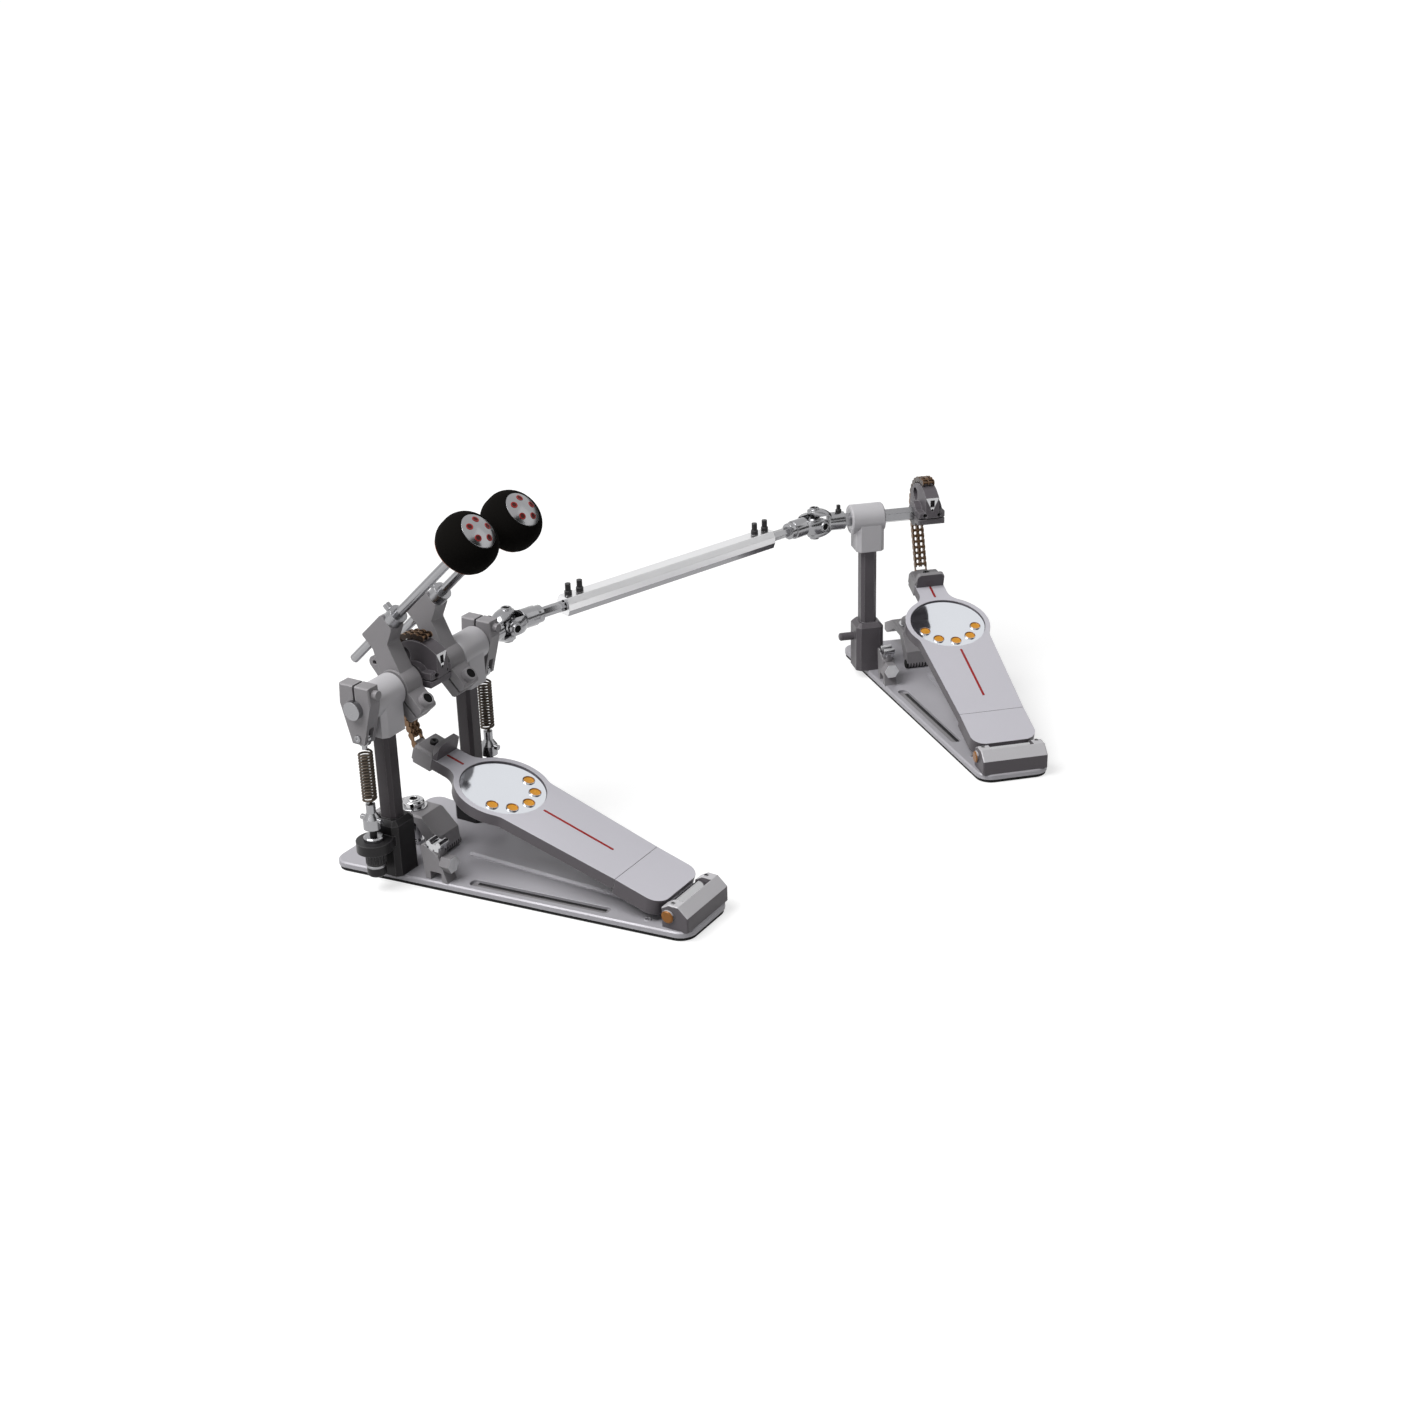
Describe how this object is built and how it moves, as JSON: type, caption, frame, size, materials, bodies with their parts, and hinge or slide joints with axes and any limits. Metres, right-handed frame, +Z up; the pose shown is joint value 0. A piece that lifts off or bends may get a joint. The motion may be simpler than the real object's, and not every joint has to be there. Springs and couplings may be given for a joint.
{
  "type": "double bass drum pedal",
  "caption": "Double bass drum pedal: a main pedal with paired beaters and a slave pedal, joined by a telescopic link with universal joints; chain-driven cams, coil springs and base plates",
  "frame": {"origin": "on the floor under the middle of the main pedal's axle", "axes": "+X along the main axle towards the slave pedal, +Y towards the drum, +Z up"},
  "size_m": [0.7313, 0.4608, 0.3258],
  "materials": {
    "satin_silver": "satin",
    "cast_grey": "satin cast",
    "mat_rubber": "matt",
    "chrome": "polished",
    "steel": "bright",
    "chain_brass": "bronzed",
    "amber": "gloss",
    "black_felt": "felt",
    "dark_steel": "dark"
  },
  "bodies": {
    "main_base": {"main_base_plate": "satin_silver", "main_base_mat": "mat_rubber", "main_posts": "cast_grey", "main_bearing_housings": "cast_grey", "main_bearings": "steel", "main_heel_block": "cast_grey", "main_side_spur": "cast_grey", "main_spring_nuts": "steel"},
    "primary_axle": {"primary_axle": "steel", "primary_rocker": "cast_grey", "primary_fittings": "chrome", "primary_beater_holder": "cast_grey", "primary_beater_shaft": "chrome", "primary_beater_head": "black_felt", "main_cam": "cast_grey", "main_chain_wrap": "chain_brass"},
    "secondary_axle": {"secondary_axle": "steel", "secondary_rocker": "cast_grey", "secondary_fittings": "chrome", "secondary_beater_holder": "cast_grey", "secondary_beater_shaft": "chrome", "secondary_beater_head": "black_felt", "main_yoke": "chrome"},
    "left_spring_seat": {"left_spring": "steel"},
    "left_spring_hook": {"left_spring_hook": "steel"},
    "right_spring_seat": {"right_spring": "steel"},
    "right_spring_hook": {"right_spring_hook": "steel"},
    "left_tension_knob": {"left_tension_knob": "dark_steel"},
    "right_tension_knob": {"right_tension_knob": "dark_steel"},
    "main_footboard": {"main_footboard": "satin_silver", "main_heel_deck": "satin_silver", "main_traction_disc": "chrome", "main_traction_studs": "amber", "main_hinge_bar": "chrome"},
    "main_chain": {"main_chain_run": "chain_brass"},
    "hoop_clamp": {"main_hoop_clamp": "cast_grey", "main_clamp_bolt": "chrome"},
    "main_cross": {"main_cross": "chrome"},
    "link_tube": {"link_drive_rod": "chrome", "link_tube": "chrome"},
    "link_slide_rod": {"link_slide_rod": "chrome"},
    "slave_base": {"slave_base_plate": "satin_silver", "slave_base_mat": "mat_rubber", "slave_post": "cast_grey", "slave_bearing_housing": "cast_grey", "slave_bearings": "steel", "slave_heel_block": "cast_grey", "slave_bridge": "cast_grey", "slave_side_spur": "cast_grey"},
    "slave_axle": {"slave_axle": "steel", "slave_yoke": "chrome", "slave_cam": "cast_grey", "slave_chain_wrap": "chain_brass"},
    "slave_cross": {"slave_cross": "chrome"},
    "slave_footboard": {"slave_footboard": "satin_silver", "slave_heel_deck": "satin_silver", "slave_traction_disc": "chrome", "slave_traction_studs": "amber", "slave_hinge_bar": "chrome"},
    "slave_chain": {"slave_chain_run": "chain_brass"}
  },
  "joints": [
    {"name": "primary_axle_turn", "type": "hinge", "parent": "main_base", "child": "primary_axle", "pos_m": [0, 0, 0.166], "axis": [-1, 0, 0], "range_deg": [0, 46], "stiffness_Nm_per_rad": 1.6, "springref_deg": -28.65},
    {"name": "left_spring_lean", "type": "hinge", "parent": "main_base", "child": "left_spring_seat", "pos_m": [-0.0795, 0, 0.079], "axis": [1, 0, 0], "range_deg": [0, 15.3]},
    {"name": "left_spring_stretch", "type": "slide", "parent": "left_spring_seat", "child": "left_spring_hook", "axis": [0, 0, 1], "range_m": [0, 0.01063], "deforming": ["left_spring"]},
    {"name": "left_tension_turn", "type": "hinge", "parent": "main_base", "child": "left_tension_knob", "pos_m": [-0.0795, 0, 0.014], "axis": [0, 0, 1], "range_deg": [-180, 180]},
    {"name": "secondary_axle_turn", "type": "hinge", "parent": "main_base", "child": "secondary_axle", "pos_m": [0, 0, 0.166], "axis": [-1, 0, 0], "range_deg": [0, 46], "stiffness_Nm_per_rad": 1.6, "springref_deg": -28.65},
    {"name": "right_spring_lean", "type": "hinge", "parent": "main_base", "child": "right_spring_seat", "pos_m": [0.0795, 0, 0.079], "axis": [1, 0, 0], "range_deg": [0, 15.3]},
    {"name": "right_spring_stretch", "type": "slide", "parent": "right_spring_seat", "child": "right_spring_hook", "axis": [0, 0, 1], "range_m": [0, 0.01063], "deforming": ["right_spring"]},
    {"name": "right_tension_turn", "type": "hinge", "parent": "main_base", "child": "right_tension_knob", "pos_m": [0.0795, 0, 0.014], "axis": [0, 0, 1], "range_deg": [-180, 180]},
    {"name": "main_board_press", "type": "hinge", "parent": "main_base", "child": "main_footboard", "pos_m": [0, -0.2541, 0.0189], "axis": [-1, 0, 0], "range_deg": [0, 6.3]},
    {"name": "main_chain_unwind", "type": "hinge", "parent": "primary_axle", "child": "main_chain", "pos_m": [0, 0.03228, 0.17286], "axis": [1, 0, 0], "range_deg": [0, 55.2]},
    {"name": "main_cross_turn", "type": "hinge", "parent": "secondary_axle", "child": "main_cross", "pos_m": [0.1172, 0, 0.166], "axis": [0, 0, 1], "range_deg": [0, 5.2]},
    {"name": "link_turn", "type": "hinge", "parent": "main_base", "child": "link_tube", "pos_m": [0.1172, 0, 0.166], "axis": [-0.955, 0.2965, 0], "range_deg": [0, 44.8]},
    {"name": "slave_distance", "type": "slide", "parent": "main_base", "child": "slave_base", "axis": [0.955, -0.2965, 0], "range_m": [-0.022, 0.055]},
    {"name": "link_slide_rod_turn", "type": "hinge", "parent": "slave_base", "child": "link_slide_rod", "pos_m": [0.47304, -0.11049, 0.166], "axis": [-0.955, 0.2965, 0], "range_deg": [0, 44.8]},
    {"name": "slave_axle_turn", "type": "hinge", "parent": "slave_base", "child": "slave_axle", "pos_m": [0.5523, -0.19271, 0.166], "axis": [-0.694, 0.7199, 0], "range_deg": [0, 48.6]},
    {"name": "slave_cross_turn", "type": "hinge", "parent": "slave_axle", "child": "slave_cross", "pos_m": [0.47304, -0.11049, 0.166], "axis": [0, 0, -1], "range_deg": [0, 8.9]},
    {"name": "slave_board_press", "type": "hinge", "parent": "slave_base", "child": "slave_footboard", "pos_m": [0.36936, -0.36906, 0.0189], "axis": [-0.694, 0.7199, 0], "range_deg": [0, 6.6]},
    {"name": "slave_chain_unwind", "type": "hinge", "parent": "slave_axle", "child": "slave_chain", "pos_m": [0.57554, -0.17031, 0.17286], "axis": [0.694, -0.7199, 0], "range_deg": [0, 58.1]},
    {"name": "hoop_clamp_open", "type": "hinge", "parent": "main_base", "child": "hoop_clamp", "pos_m": [-0.01, -0.018, 0.0125], "axis": [1, 0, 0], "range_deg": [0, 8]}
  ],
  "couplings": [
    {"joint": "left_spring_lean", "follows": "primary_axle_turn", "ratio": 0.32997},
    {"joint": "left_spring_stretch", "follows": "primary_axle_turn", "m_per_rad": 0.012992},
    {"joint": "right_spring_lean", "follows": "secondary_axle_turn", "ratio": 0.32997},
    {"joint": "right_spring_stretch", "follows": "secondary_axle_turn", "m_per_rad": 0.012992},
    {"joint": "main_board_press", "follows": "primary_axle_turn", "ratio": 0.13368},
    {"joint": "main_chain_unwind", "follows": "primary_axle_turn", "ratio": 1.1959},
    {"joint": "main_cross_turn", "follows": "secondary_axle_turn", "ratio": 0.11039},
    {"joint": "link_turn", "follows": "secondary_axle_turn", "ratio": 0.97134},
    {"joint": "link_slide_rod_turn", "follows": "secondary_axle_turn", "ratio": 0.97134},
    {"joint": "slave_axle_turn", "follows": "secondary_axle_turn", "ratio": 1.0534},
    {"joint": "slave_cross_turn", "follows": "secondary_axle_turn", "ratio": 0.19062},
    {"joint": "slave_board_press", "follows": "secondary_axle_turn", "ratio": 0.14082},
    {"joint": "slave_chain_unwind", "follows": "secondary_axle_turn", "ratio": 1.2598}
  ]
}
